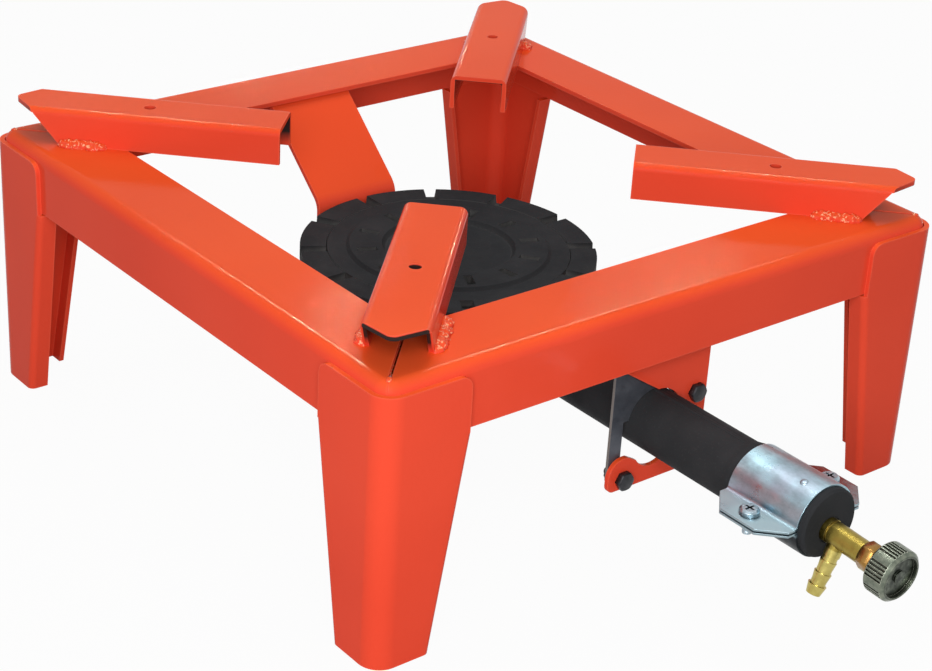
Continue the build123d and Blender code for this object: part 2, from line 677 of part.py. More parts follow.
with BuildPart() as gas_jet:
    with BuildSketch(valve_section):
        Polygon((jet_orifice, jet_seat), (jet_thread_radius - thread_clearance, jet_seat),
                (jet_thread_radius - thread_clearance, stem_end),
                (jet_head_radius, stem_end), (jet_head_radius, stem_end - jet_head / 2),
                (jet_tip_radius, stem_end - jet_head), (jet_orifice, stem_end - jet_head))
    revolve(axis=valve_axis)
finish(gas_jet, "gas_jet")

with BuildPart() as gland_packing:
    with BuildSketch(valve_section):
        Polygon((spindle_bore, packing_floor), (packing_radius - thread_clearance, packing_floor),
                (packing_radius - thread_clearance, neck_end), (spindle_bore, neck_end))
    revolve(axis=valve_axis)
finish(gland_packing, "gland_packing")

gland_end = valve_length + gland_height

with BuildPart() as gland_nut:
    with BuildSketch(valve_face.offset(valve_length)):
        RegularPolygon(gland_flats / 2, 6, major_radius=False)
        Circle(spindle_bore, mode=Mode.SUBTRACT)
    extrude(amount=gland_height)
    with BuildSketch(valve_face.offset(valve_length)):
        Circle(valve_neck_radius + thread_clearance)
    extrude(amount=valve_neck, mode=Mode.SUBTRACT)
finish(gland_nut, "gland_nut")

# Spindle with its needle, and the knob pressed on its outer end
hub_start = gland_end + knob_gap
knob_back = hub_start + knob_hub
knob_front = knob_back + knob_height
knob_face = knob_front - knob_dish
spindle_end = knob_face - knob_floor
needle_base = valve_seat_radius - needle_clearance

with BuildPart() as valve_spindle:
    with BuildSketch(valve_section):
        Polygon((0, -needle_length), (needle_tip_radius, -needle_length), (needle_base, 0),
                (spindle_neck_radius, valve_chamber), (spindle_neck_radius, spindle_neck),
                (spindle_radius, spindle_neck + spindle_radius - spindle_neck_radius),
                (spindle_radius, spindle_end), (0, spindle_end))
    revolve(axis=valve_axis)
finish(valve_spindle, "valve_spindle")

with BuildPart() as valve_knob:
    with BuildSketch(valve_section):
        Polygon((spindle_bore, hub_start), (knob_hub_radius, hub_start), (knob_hub_radius, knob_back),
                (knob_radius - knob_edge / 2, knob_back), (knob_radius, knob_back + knob_edge / 2),
                (knob_radius, knob_front - knob_edge), (knob_radius - knob_edge, knob_front),
                (knob_face_radius, knob_front), (knob_face_radius, knob_face), (knob_boss_radius, knob_face),
                (knob_boss_radius, knob_front - knob_dish / 2), (0, knob_front - knob_dish / 2),
                (0, spindle_end + spindle_clearance),
                (spindle_bore, spindle_end + spindle_clearance))
    revolve(axis=valve_axis)
    rib_step = knob_rib_pitch / radians(1) / knob_radius
    with BuildSketch(valve_face.offset(knob_back + knob_edge / 2)):
        for group in range(knob_grip_groups):
            first_rib = knob_grip_turn + group * 360 / knob_grip_groups - rib_step * (knob_grip_ribs - 1) / 2
            with PolarLocations(knob_radius, knob_grip_ribs, first_rib, rib_step * knob_grip_ribs):
                Rectangle(2 * knob_rib_depth, knob_rib_pitch / 2)
    extrude(amount=knob_height - 1.5 * knob_edge, mode=Mode.SUBTRACT)
finish(valve_knob, "valve_knob")
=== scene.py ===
import json
from math import cos, pi, radians, sin, sqrt, tan

import bmesh
import bpy
from mathutils import Matrix, Vector, noise

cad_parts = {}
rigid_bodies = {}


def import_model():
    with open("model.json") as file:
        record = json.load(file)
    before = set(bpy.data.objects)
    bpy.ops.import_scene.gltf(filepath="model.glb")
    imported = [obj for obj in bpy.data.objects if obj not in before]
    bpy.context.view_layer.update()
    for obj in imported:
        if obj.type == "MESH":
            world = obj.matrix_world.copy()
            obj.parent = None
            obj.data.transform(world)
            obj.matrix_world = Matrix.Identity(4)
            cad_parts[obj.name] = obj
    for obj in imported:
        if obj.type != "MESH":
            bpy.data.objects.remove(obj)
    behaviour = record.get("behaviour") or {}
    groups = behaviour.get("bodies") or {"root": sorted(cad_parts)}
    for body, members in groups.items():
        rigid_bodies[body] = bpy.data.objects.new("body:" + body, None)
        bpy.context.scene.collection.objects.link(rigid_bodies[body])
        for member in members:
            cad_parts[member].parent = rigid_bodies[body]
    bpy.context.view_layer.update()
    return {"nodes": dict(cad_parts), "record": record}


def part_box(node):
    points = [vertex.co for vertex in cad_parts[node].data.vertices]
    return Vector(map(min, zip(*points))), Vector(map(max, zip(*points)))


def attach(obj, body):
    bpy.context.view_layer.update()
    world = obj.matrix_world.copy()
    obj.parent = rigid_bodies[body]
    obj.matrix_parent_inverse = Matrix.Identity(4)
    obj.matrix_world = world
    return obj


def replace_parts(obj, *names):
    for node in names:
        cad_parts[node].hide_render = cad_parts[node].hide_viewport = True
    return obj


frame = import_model()
nodes = frame["nodes"]

UP = Vector((0, 0, 1))
AHEAD = Vector((0, 1, 0))

# Sizes in metres, as in the CAD model
MM = 0.001
RAIL_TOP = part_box("front_rail")[1].z
RAIL_SHEET = 3.0 * MM
SUPPORT_HALF = 18.0 * MM
SUPPORT_SHEET = 3.0 * MM
SUPPORT_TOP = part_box("support_front_left")[1].z
SUPPORT_FOOT_END = 239.8 * MM  # outer end of a support's side walls, from the middle
SUPPORT_HOLE = 187.9 * MM  # from the middle
SUPPORT_HOLE_RADIUS = 3.5 * MM
RIM_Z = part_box("burner_body")[1].z
TUBE_Z = (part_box("air_sleeve_upper")[1].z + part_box("air_sleeve_lower")[0].z) / 2
TUBE_RADIUS = 18.1 * MM
TUBE_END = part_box("burner_body")[0].y
BOWL_FRONT = -87.0 * MM
VALVE_DROOP = radians(3.5)
VALVE_ALONG = Vector((0.0, -cos(VALVE_DROOP), -sin(VALVE_DROOP)))
VALVE_ORIGIN = Vector((0.0, TUBE_END, TUBE_Z - 3.0 * MM))
BARB_CLOCK = radians(22.0)
BARB_PLACE = VALVE_ORIGIN + VALVE_ALONG * 7.8 * MM
BARB_OUT = Vector((-sin(BARB_CLOCK), sin(VALVE_DROOP) * cos(BARB_CLOCK), -cos(VALVE_DROOP) * cos(BARB_CLOCK)))
GLAND_START = 25.0 * MM  # along the valve
GLAND_HEIGHT = 8.5 * MM
GLAND_FLATS = 14.0 * MM
KNOB_FACE = 47.6 * MM  # floor of the knob's dish, along the valve
KNOB_FACE_RADIUS = 11.5 * MM
KNOB_END = 50.0 * MM
BOLT_SPOTS = [(29.3 * MM, TUBE_Z + 9.4 * MM), (-21.4 * MM, TUBE_Z - 32.1 * MM)]
BOLT_RADIUS = 3.0 * MM
BOLT_FLATS = 10.0 * MM
BOLT_HEAD = 4.0 * MM
BOLT_PITCH = 1.0 * MM
BOLT_THREAD_DEPTH = 0.4 * MM
STRAP_BOLT_Y = 34.0 * MM
SCREW_X = 30.0 * MM
SCREW_RADIUS = 2.5 * MM
SCREW_PITCH = 0.8 * MM
SCREW_THREAD_DEPTH = 0.2 * MM
SCREW_NUT_FLATS = 8.0 * MM
SLEEVE_MIDDLE = (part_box("air_sleeve_upper")[0].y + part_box("air_sleeve_upper")[1].y) / 2
SLEEVE_RADIUS = 20.9 * MM
EAR_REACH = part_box("air_sleeve_upper")[1].x - SLEEVE_RADIUS


class Graph:
    """A material's node tree, with short ways to add nodes and join them."""

    def __init__(self, name, constants):
        self.material = bpy.data.materials.new(name)
        self.material.use_nodes = True
        self.tree = self.material.node_tree
        self.shader = self.tree.nodes["Principled BSDF"]
        for socket, value in constants.items():
            self.shader.inputs[socket].default_value = value
        self.place = self.add("ShaderNodeTexCoord").outputs["Object"]

    def add(self, kind, sockets=None, **settings):
        node = self.tree.nodes.new(kind)
        for key, value in settings.items():
            setattr(node, key, value)
        for key, value in (sockets or {}).items():
            self.feed(node.inputs[key], value)
        return node

    def feed(self, socket, value):
        if isinstance(value, bpy.types.NodeSocket):
            self.tree.links.new(value, socket)
        else:
            socket.default_value = value

    def noise(self, scale, detail=3.0, roughness=0.5, place=None):
        sockets = {"Vector": place or self.place, "Scale": scale, "Detail": detail, "Roughness": roughness}
        return self.add("ShaderNodeTexNoise", sockets).outputs["Fac"]

    def cells(self, scale):
        sockets = {"Vector": self.place, "Scale": scale}
        return self.add("ShaderNodeTexVoronoi", sockets).outputs["Distance"]

    def stretched(self, scale):
        return self.add("ShaderNodeMapping", {"Vector": self.place, "Scale": scale}).outputs["Vector"]

    def span(self, value, low, high, start=0.0, end=1.0):
        sockets = {"Value": value, "From Min": start, "From Max": end, "To Min": low, "To Max": high}
        return self.add("ShaderNodeMapRange", sockets).outputs["Result"]

    def math(self, operation, first, second=0.0):
        node = self.add("ShaderNodeMath", operation=operation)
        self.feed(node.inputs[0], first)
        self.feed(node.inputs[1], second)
        return node.outputs["Value"]

    def dot(self, vector, direction):
        node = self.add("ShaderNodeVectorMath", operation="DOT_PRODUCT")
        self.feed(node.inputs[0], vector)
        self.feed(node.inputs[1], direction)
        return node.outputs["Value"]

    def mix(self, factor, first, second):
        node = self.add("ShaderNodeMix", data_type="RGBA")
        self.feed(node.inputs[0], factor)
        self.feed(node.inputs[6], first)
        self.feed(node.inputs[7], second)
        return node.outputs[2]

    def bump(self, height, distance, strength=1.0):
        """Add a bump of that depth in metres on top of those already there."""
        sockets = {"Height": height, "Distance": distance, "Strength": strength}
        node = self.add("ShaderNodeBump", sockets)
        normal = self.shader.inputs["Normal"]
        if normal.links:
            self.tree.links.new(normal.links[0].from_socket, node.inputs["Normal"])
        self.tree.links.new(node.outputs["Normal"], normal)

    def edges(self, radius):
        """About 1 along sharp edges and 0 on flat and gently curved faces."""
        rounded = self.add("ShaderNodeBevel", {"Radius": radius}, samples=6).outputs["Normal"]
        flat = self.add("ShaderNodeNewGeometry").outputs["Normal"]
        return self.span(self.dot(rounded, flat), 1.0, 0.0, 0.80, 0.99)

    def axes(self):
        """The object's own x, y and z."""
        return self.add("ShaderNodeSeparateXYZ", {"Vector": self.place}).outputs

    def colour(self, value):
        self.feed(self.shader.inputs["Base Color"], value)

    def roughness(self, value):
        self.feed(self.shader.inputs["Roughness"], value)


def rgb(red, green, blue):
    return (red, green, blue, 1.0)


def paint(name, shine, grain, fineness, pale_specks):
    """Thick glossy enamel with orange peel, with a painted highlight along the edges, and redder on the sides
    than on top, where a warm reflection is painted in. It is nearly black inside the pot supports and on the
    front one's cut end and hole. Shine is the level of the mirror, grain and fineness are the depth and the
    closeness of the small lumps, and the last argument sets how strongly the lumps' crests are painted pale,
    as a painted highlight."""
    g = Graph(name, {"Specular IOR Level": shine})
    drift = g.span(g.noise(7.0, 2.0), 0.0, 1.0, 0.35, 0.65)
    sides = g.mix(drift, rgb(0.74, 0.062, 0.028), rgb(0.79, 0.072, 0.033))
    # Upward faces get a less red colour: a painted warm reflection on top
    tops_painted_sheen = g.mix(drift, rgb(0.76, 0.078, 0.018), rgb(0.81, 0.090, 0.021))
    normal = g.add("ShaderNodeTexCoord").outputs["Normal"]
    body = g.mix(g.span(g.dot(normal, UP), 0.0, 1.0, 0.4, 0.95), sides, tops_painted_sheen)
    specks = g.span(g.cells(260.0), 1.0, 0.0, 0.03, 0.07)
    dusty = g.mix(g.math("MULTIPLY", specks, g.noise(18.0)), body, rgb(0.62, 0.075, 0.035))
    lumps = g.noise(fineness, 2.0)
    # Painted highlight: the lumps' crests are painted pale, as much as the last argument asks
    thin = g.mix(g.span(lumps, 0.0, pale_specks, 0.56, 0.64), dusty, rgb(0.93, 0.50, 0.28))
    # Painted highlight along the sharp edges
    edge_highlighted = g.mix(g.math("MULTIPLY", g.edges(1.8 * MM), 0.5), thin, rgb(0.88, 0.150, 0.080))
    x, y, z = g.axes()
    far_x, far_y = g.math("ABSOLUTE", x), g.math("ABSOLUTE", y)
    along = g.math("MULTIPLY", g.math("ADD", far_x, far_y), sqrt(0.5))
    across = g.math("MULTIPLY", g.math("ABSOLUTE", g.math("SUBTRACT", far_x, far_y)), sqrt(0.5))
    inner = SUPPORT_HALF - SUPPORT_SHEET
    between = g.span(across, 1.0, 0.0, inner + 0.1 * MM, inner + 0.3 * MM)
    above = g.span(z, 0.0, 1.0, RAIL_TOP + 2 * MM, RAIL_TOP + 9 * MM)
    web_under = SUPPORT_TOP - SUPPORT_SHEET
    below = g.span(z, 1.0, 0.0, web_under + 0.1 * MM, web_under + 0.4 * MM)
    inside = g.math("MULTIPLY", g.math("MULTIPLY", between, above), below)
    quarter = g.add("ShaderNodeVectorMath", {0: g.place}, operation="SIGN").outputs["Vector"]
    outward = g.add("ShaderNodeVectorMath", {0: normal, 1: quarter}, operation="MULTIPLY").outputs["Vector"]
    facing_end = g.span(g.dot(outward, (sqrt(0.5), sqrt(0.5), 0.0)), 0.0, 1.0, 0.5, 0.6)
    under_top = g.span(z, 1.0, 0.0, SUPPORT_TOP - 0.9 * MM, SUPPORT_TOP - 0.6 * MM)
    cut_end = g.math("MULTIPLY", facing_end, under_top)
    past_foot = g.math("MULTIPLY",
                       g.span(along, 0.0, 1.0, SUPPORT_FOOT_END - 4 * MM, SUPPORT_FOOT_END - 3 * MM),
                       g.span(across, 1.0, 0.0, SUPPORT_HALF - 1.3 * MM, SUPPORT_HALF - 1.0 * MM))
    ends = g.math("MULTIPLY", g.math("MULTIPLY", cut_end, past_foot), above)
    from_hole = g.math("SQRT", g.math("ADD", g.math("POWER", g.math("SUBTRACT", along, SUPPORT_HOLE), 2.0),
                                      g.math("POWER", across, 2.0)))
    hole = g.math("MULTIPLY",
                  g.span(from_hole, 1.0, 0.0, SUPPORT_HOLE_RADIUS + 0.1 * MM, SUPPORT_HOLE_RADIUS + 0.4 * MM),
                  g.span(z, 1.0, 0.0, SUPPORT_TOP - 0.9 * MM, SUPPORT_TOP - 0.5 * MM))
    front = g.span(g.math("ADD", x, y), 1.0, 0.0, -0.2 * SUPPORT_HOLE, 0.0)
    # Nearly black inside the pot supports, under the web, and on the front support's cut end and hole
    near_black_areas = g.math("MAXIMUM", inside, g.math("MULTIPLY", front, g.math("MAXIMUM", ends, hole)))
    g.colour(g.mix(near_black_areas, edge_highlighted, rgb(0.030, 0.018, 0.016)))
    g.roughness(g.span(g.noise(32.0, 4.0), 0.07, 0.13, 0.3, 0.7))
    g.bump(g.noise(22.0, 1.0), 1.0 * MM, 0.25)
    g.bump(lumps, grain, 0.60)
    return g.material


def cast_iron():
    """Sand-cast iron under thin black paint, painted lighter in the recesses of the head as painted light
    that lifts their shade.
    """
    g = Graph("black_casting", {"Specular IOR Level": 0.03})
    patches = g.span(g.noise(35.0, 4.0), 0.0, 1.0, 0.35, 0.65)
    skin = g.mix(patches, rgb(0.023, 0.024, 0.026), rgb(0.030, 0.031, 0.033))
    grains = g.span(g.noise(900.0, 2.0), 0.0, 0.5, 0.62, 0.75)
    pale_specks = g.mix(grains, skin, rgb(0.050, 0.050, 0.050))
    shade = g.add("ShaderNodeAmbientOcclusion", {"Distance": 8.0 * MM}, samples=8).outputs["AO"]
    level = g.span(g.axes()[2], 0.0, 1.0, RIM_Z - 12 * MM, RIM_Z - 9 * MM)
    # Painted light: the recesses of the head are painted lighter where ambient occlusion finds shade
    recess_painted_light = g.math("MULTIPLY", g.span(shade, 1.0, 0.0, 0.35, 0.85), level)
    g.colour(g.mix(recess_painted_light, pale_specks, rgb(0.11, 0.108, 0.105)))
    g.roughness(g.span(g.noise(60.0, 4.0), 0.5, 0.7, 0.3, 0.7))
    g.bump(g.noise(150.0, 3.0), 0.5 * MM, 0.35)
    g.bump(g.noise(1100.0, 3.0, 0.6), 0.12 * MM, 0.6)
    return g.material


def zinc_sheet():
    """Mottled zinc plate, faintly bluish and pink, duller on the ears, with painted shade and a painted dark
    reflection on the lower half below them. The ears shine as if bent down a little at their outer edges,
    the left one more, and the right one is rubbed smoother."""
    g = Graph("zinc_plate", {"Specular IOR Level": 0.05})
    x, y, z = g.axes()
    film = g.span(g.noise(55.0, 3.0), 0.0, 1.0, 0.38, 0.62)
    cool = g.mix(film, rgb(0.43, 0.63, 0.71), rgb(0.32, 0.47, 0.54))
    pink = g.span(g.noise(26.0, 2.0), 0.0, 0.6, 0.48, 0.66)
    tinted = g.mix(pink, cool, rgb(0.40, 0.31, 0.41))
    mottle = g.noise(160.0, 5.0, 0.65, g.stretched((1.0, 0.5, 1.0)))
    dulled = g.mix(g.span(mottle, 0.0, 0.75, 0.42, 0.70), tinted, rgb(0.20, 0.25, 0.28))
    out = g.math("ABSOLUTE", x)
    on_ear = g.span(out, 0.0, 0.75, SLEEVE_RADIUS + 0.5 * MM, SLEEVE_RADIUS + 2.5 * MM)
    right_ear = g.span(x, 0.0, 1.0, SLEEVE_RADIUS + 0.5 * MM, SLEEVE_RADIUS + 1.5 * MM)
    handled = g.mix(on_ear, dulled, g.mix(mottle, rgb(0.17, 0.22, 0.24), rgb(0.36, 0.45, 0.48)))
    # Painted shade and a painted dark reflection: the lower half, under the ears, is made dark and not
    # metallic
    lower_painted_shade = g.math("MULTIPLY", g.span(z, 1.0, 0.0, TUBE_Z - 4.0 * MM, TUBE_Z - 1.5 * MM),
                   g.span(g.noise(120.0, 4.0), 0.93, 1.0, 0.3, 0.6))
    g.colour(g.mix(lower_painted_shade, handled, rgb(0.020, 0.022, 0.025)))
    g.feed(g.shader.inputs["Metallic"], g.math("SUBTRACT", 1.0, lower_painted_shade))
    g.roughness(g.math("SUBTRACT", g.span(mottle, 0.24, 0.42, 0.3, 0.7), g.math("MULTIPLY", right_ear, 0.14)))
    g.bump(mottle, 0.05 * MM, 0.5)
    g.bump(g.noise(45.0, 2.0), 0.5 * MM, 0.25)
    ear_edge = SLEEVE_RADIUS + EAR_REACH
    g.bump(g.span(x, 0.0, 1.0, -ear_edge, -SLEEVE_RADIUS - 1 * MM), 0.22 * EAR_REACH)
    g.bump(g.span(x, 1.0, 0.0, SLEEVE_RADIUS + 1 * MM, ear_edge), 0.09 * EAR_REACH)
    return g.material


def zinc_screw():
    """Zinc-plated fasteners, a little duller than the sheet."""
    g = Graph("zinc_fastener", {"Metallic": 1.0})
    patches = g.span(g.noise(420.0, 3.0), 0.0, 1.0, 0.35, 0.65)
    plate = g.mix(patches, rgb(0.25, 0.33, 0.38), rgb(0.42, 0.50, 0.55))
    shade = g.add("ShaderNodeAmbientOcclusion", {"Distance": 2.5 * MM}, samples=8).outputs["AO"]
    rubbed = g.mix(g.edges(0.4 * MM), plate, rgb(0.55, 0.62, 0.66))
    # Painted shade: darker in the recesses that ambient occlusion finds
    g.colour(g.mix(g.span(shade, 1.0, 0.0, 0.35, 0.85), rubbed, rgb(0.03, 0.035, 0.04)))
    g.roughness(g.span(g.noise(700.0), 0.22, 0.40, 0.3, 0.7))
    g.bump(g.noise(1500.0, 2.0), 0.03 * MM, 0.4)
    return g.material


def brass():
    """Turned brass with fine tool rings and a slight tarnish; the hexagon of the gland nut is coppery, and
    the hose barb is painted paler as a painted highlight.
    """
    g = Graph("turned_brass", {"Metallic": 1.0})
    along_valve = g.math("SUBTRACT", g.dot(g.place, VALVE_ALONG), VALVE_ORIGIN.dot(VALVE_ALONG))
    along_barb = g.math("SUBTRACT", g.dot(g.place, BARB_OUT), BARB_PLACE.dot(BARB_OUT))
    on_barb = g.span(along_barb, 0.0, 1.0, 7.0 * MM, 7.5 * MM)
    on_nut = g.span(along_valve, 0.0, 1.0, GLAND_START - 0.1 * MM, GLAND_START + 0.1 * MM)
    ring_pitch = 0.45 * MM
    rings = [g.math("SINE", g.math("MULTIPLY", place, 2 * pi / ring_pitch))
             for place in (along_valve, along_barb)]
    cut = g.add("ShaderNodeMix", {0: on_barb, 2: rings[0], 3: rings[1]}, data_type="FLOAT").outputs[0]
    tarnish = g.span(g.noise(240.0, 4.0), 0.0, 0.6, 0.45, 0.75)
    yellow = g.mix(tarnish, rgb(0.31, 0.235, 0.050), rgb(0.20, 0.135, 0.030))
    copper = g.mix(tarnish, rgb(0.33, 0.18, 0.050), rgb(0.20, 0.095, 0.028))
    # The barb's paler colour is a painted highlight
    pale = g.mix(tarnish, rgb(0.50, 0.42, 0.13), rgb(0.30, 0.22, 0.05))
    body = g.mix(on_barb, g.mix(on_nut, yellow, copper), pale)
    g.colour(g.mix(g.math("MULTIPLY", g.edges(0.35 * MM), 0.6), body, rgb(0.68, 0.56, 0.24)))
    g.roughness(g.span(g.noise(380.0, 3.0), 0.27, 0.36, 0.3, 0.7))
    g.bump(cut, 0.004 * MM, 0.3)
    g.bump(g.noise(250.0, 2.0), 0.02 * MM, 0.15)
    return g.material


def knob_zinc():
    """Grey-green die-cast zinc, with painted shade in the grooves, a painted highlight on the ribs, and
    darker in blotches on the dished face and its rim.
    """
    g = Graph("cast_zinc", {"Metallic": 1.0})
    patches = g.span(g.noise(320.0, 3.0), 0.0, 1.0, 0.35, 0.65)
    body = g.mix(patches, rgb(0.12, 0.14, 0.11), rgb(0.21, 0.23, 0.18))
    # Painted highlight: the ribs' sharp edges are painted bright
    rubbed = g.mix(g.edges(0.6 * MM), body, rgb(0.72, 0.74, 0.60))
    shade = g.add("ShaderNodeAmbientOcclusion", {"Distance": 2.0 * MM}, samples=8).outputs["AO"]
    # Painted shade: the grooves are painted dark where ambient occlusion finds them
    grooved = g.mix(g.span(shade, 1.0, 0.0, 0.60, 0.95), rubbed, rgb(0.022, 0.022, 0.016))
    from_valve = g.add("ShaderNodeVectorMath", {0: g.place, 1: VALVE_ORIGIN}, operation="SUBTRACT")
    offset = from_valve.outputs["Vector"]
    turned = g.add("ShaderNodeVectorMath", {0: offset, 1: VALVE_ALONG}, operation="CROSS_PRODUCT")
    swung = turned.outputs["Vector"]
    radius = g.add("ShaderNodeVectorMath", {0: swung}, operation="LENGTH").outputs["Value"]
    along = g.dot(offset, VALVE_ALONG)
    # The dished face and the rim are made darker in blotches
    dish = g.math("MULTIPLY",
                  g.span(radius, 1.0, 0.0, KNOB_FACE_RADIUS - 0.4 * MM, KNOB_FACE_RADIUS - 0.1 * MM),
                  g.span(along, 0.0, 1.0, KNOB_FACE - 1.0 * MM, KNOB_FACE - 0.5 * MM))
    rim = g.span(along, 0.0, 0.7, KNOB_END - 0.3 * MM, KNOB_END - 0.1 * MM)
    blotches = g.span(g.noise(260.0, 5.0, 0.65), 1.0, 0.35, 0.42, 0.66)
    dark_face = g.math("MULTIPLY", g.math("MAXIMUM", dish, rim), blotches)
    g.colour(g.mix(dark_face, grooved, rgb(0.030, 0.036, 0.028)))
    g.roughness(g.span(g.noise(500.0), 0.24, 0.42, 0.3, 0.7))
    g.bump(g.noise(900.0, 3.0), 0.06 * MM, 0.4)
    return g.material


def black_steel():
    """Blackened steel fasteners."""
    g = Graph("black_oxide", {"Metallic": 0.5, "Specular IOR Level": 0.2})
    patches = g.span(g.noise(300.0, 3.0), 0.0, 1.0, 0.35, 0.65)
    body = g.mix(patches, rgb(0.024, 0.025, 0.027), rgb(0.040, 0.041, 0.046))
    g.colour(g.mix(g.math("MULTIPLY", g.edges(0.35 * MM), 0.6), body, rgb(0.11, 0.11, 0.12)))
    g.roughness(g.span(g.noise(500.0), 0.30, 0.50, 0.3, 0.7))
    g.bump(g.noise(1100.0), 0.04 * MM, 0.4)
    return g.material


def bare_steel():
    """Hot-rolled sheet: blue-grey scale on the faces and lighter sheared edges."""
    g = Graph("mill_scale", {"Metallic": 0.6, "Specular IOR Level": 0.3})
    patches = g.span(g.noise(90.0, 4.0), 0.0, 1.0, 0.35, 0.65)
    scale = g.mix(patches, rgb(0.072, 0.078, 0.095), rgb(0.105, 0.112, 0.130))
    facing = g.math("ABSOLUTE", g.dot(g.add("ShaderNodeTexCoord").outputs["Normal"], (0.0, 1.0, 0.0)))
    sheared = g.span(facing, 1.0, 0.0, 0.3, 0.6)
    g.colour(g.mix(sheared, scale, rgb(0.17, 0.15, 0.14)))
    g.roughness(g.span(g.noise(200.0, 3.0), 0.36, 0.56, 0.3, 0.7))
    g.bump(g.noise(500.0, 3.0), 0.05 * MM, 0.4)
    return g.material


def packing():
    """Dark fibre of the gland's packing ring."""
    g = Graph("gland_fibre", {})
    strands = g.noise(900.0, 3.0, 0.6)
    g.colour(g.mix(strands, rgb(0.02, 0.02, 0.02), rgb(0.06, 0.055, 0.05)))
    g.roughness(g.span(strands, 0.6, 0.9))
    g.bump(strands, 0.1 * MM)
    return g.material


materials = {
    "orange_paint": paint("orange_enamel", shine=0.03, grain=0.09 * MM, fineness=420.0, pale_specks=0.0),
    "cast_iron": cast_iron(), "zinc_sheet": zinc_sheet(), "zinc_screw": zinc_screw(),
    "brass": brass(), "knob_zinc": knob_zinc(), "black_steel": black_steel(), "bare_steel": bare_steel(),
    "packing": packing(),
}
# The weld beads' crests carry pale painted highlights
weld_paint = paint("weld_enamel", shine=0.08, grain=0.45 * MM, fineness=620.0, pale_specks=0.85)
slots = {part["node"]: part["material_slot"] for part in frame["record"]["subparts"]}
# How far a slot's sharp edges are rounded
edge_round = {"orange_paint": 0.9 * MM, "cast_iron": 0.8 * MM, "zinc_sheet": 0.2 * MM, "zinc_screw": 0.2 * MM,
              "brass": 0.25 * MM, "knob_zinc": 0.2 * MM, "black_steel": 0.25 * MM, "bare_steel": 0.3 * MM,
              "packing": 0.1 * MM}


def soften(piece, width):
    """Round a piece's sharp edges a little, so that they catch the light."""
    weld = piece.modifiers.new("weld", "WELD")
    weld.merge_threshold = 0.002 * MM
    flatten = piece.modifiers.new("flatten", "DECIMATE")
    flatten.decimate_type = "DISSOLVE"
    flatten.angle_limit = radians(0.5)
    bevel = piece.modifiers.new("edges", "BEVEL")
    bevel.width = width
    bevel.segments = 2
    bevel.limit_method = "ANGLE"
    bevel.angle_limit = radians(32)
    bevel.use_clamp_overlap = True
    bevel.harden_normals = False
    normals = piece.modifiers.new("normals", "WEIGHTED_NORMAL")
    normals.keep_sharp = True
    for polygon in piece.data.polygons:
        polygon.use_smooth = True


for name, piece in nodes.items():
    piece.data.materials.clear()
    piece.data.materials.append(materials[slots[name]])
    soften(piece, edge_round[slots[name]])


def new_piece(name, vertices, faces, slot, body, material=None):
    """A mesh piece with a slot's material, or another one for that slot, riding on a body."""
    mesh = bpy.data.meshes.new(name)
    mesh.from_pydata([tuple(v) for v in vertices], [], faces)
    mesh.validate()
    work = bmesh.new()
    work.from_mesh(mesh)
    bmesh.ops.recalc_face_normals(work, faces=work.faces)
    work.to_mesh(mesh)
    work.free()
    for polygon in mesh.polygons:
        polygon.use_smooth = True
    mesh.materials.append(material or materials[slot])
    piece = bpy.data.objects.new(name, mesh)
    bpy.context.scene.collection.objects.link(piece)
    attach(piece, body)
    return piece


def ring_mesh(rings):
    """Vertices and faces of a closed skin through rings of equal length, capped at both ends."""
    count = len(rings[0])
    vertices = [point for ring in rings for point in ring]
    faces = []
    for row in range(len(rings) - 1):
        for k in range(count):
            a, b = row * count + k, row * count + (k + 1) % count
            faces.append((a, b, b + count, a + count))
    faces.append(tuple(range(count)))
    faces.append(tuple(range(len(vertices) - count, len(vertices))))
    return vertices, faces


def weld_bead(start, end, out, up, reach, rise, lump, seed):
    """Rings of a lumpy fillet weld in the corner between a face standing along up and one lying along out."""
    length = (end - start).length
    steps = max(8, round(length / (0.9 * MM)))
    corner = 10
    sunk = 0.4 * MM
    rings = []
    for i in range(steps + 1):
        u = i / steps
        centre = start.lerp(end, u)
        taper = min(1.0, 2.6 * sqrt(max(0.0, u * (1 - u)))) + 0.05
        ripple = 0.82 + 0.18 * abs(sin(pi * (u * length / (4.4 * MM) + 0.3 * seed)))
        ring = [centre - out * sunk - up * sunk]
        for k in range(corner + 1):
            angle = pi / 2 * k / corner
            spot = centre * 260 + Vector((k * 0.55, seed * 7.1, 0))
            rough = 1 + lump * noise.noise(spot) + 0.5 * lump * noise.noise(spot * 2.7)
            size = taper * ripple * max(0.25, rough)
            ring.append(centre + out * (reach * size * cos(angle) - sunk * (k == corner))
                        + up * (rise * size * sin(angle) - sunk * (k == 0)))
        rings.append(ring)
    return rings


def join_rings(name, groups, slot, body, material=None):
    """One piece made of several ringed skins."""
    vertices, faces = [], []
    for rings in groups:
        more, skin = ring_mesh(rings)
        faces += [tuple(i + len(vertices) for i in face) for face in skin]
        vertices += more
    return new_piece(name, vertices, faces, slot, body, material)


# Bearing of each corner of the stand, in degrees from +X
CORNERS = {"rear_right": 45, "rear_left": 135, "front_left": 225, "front_right": 315}

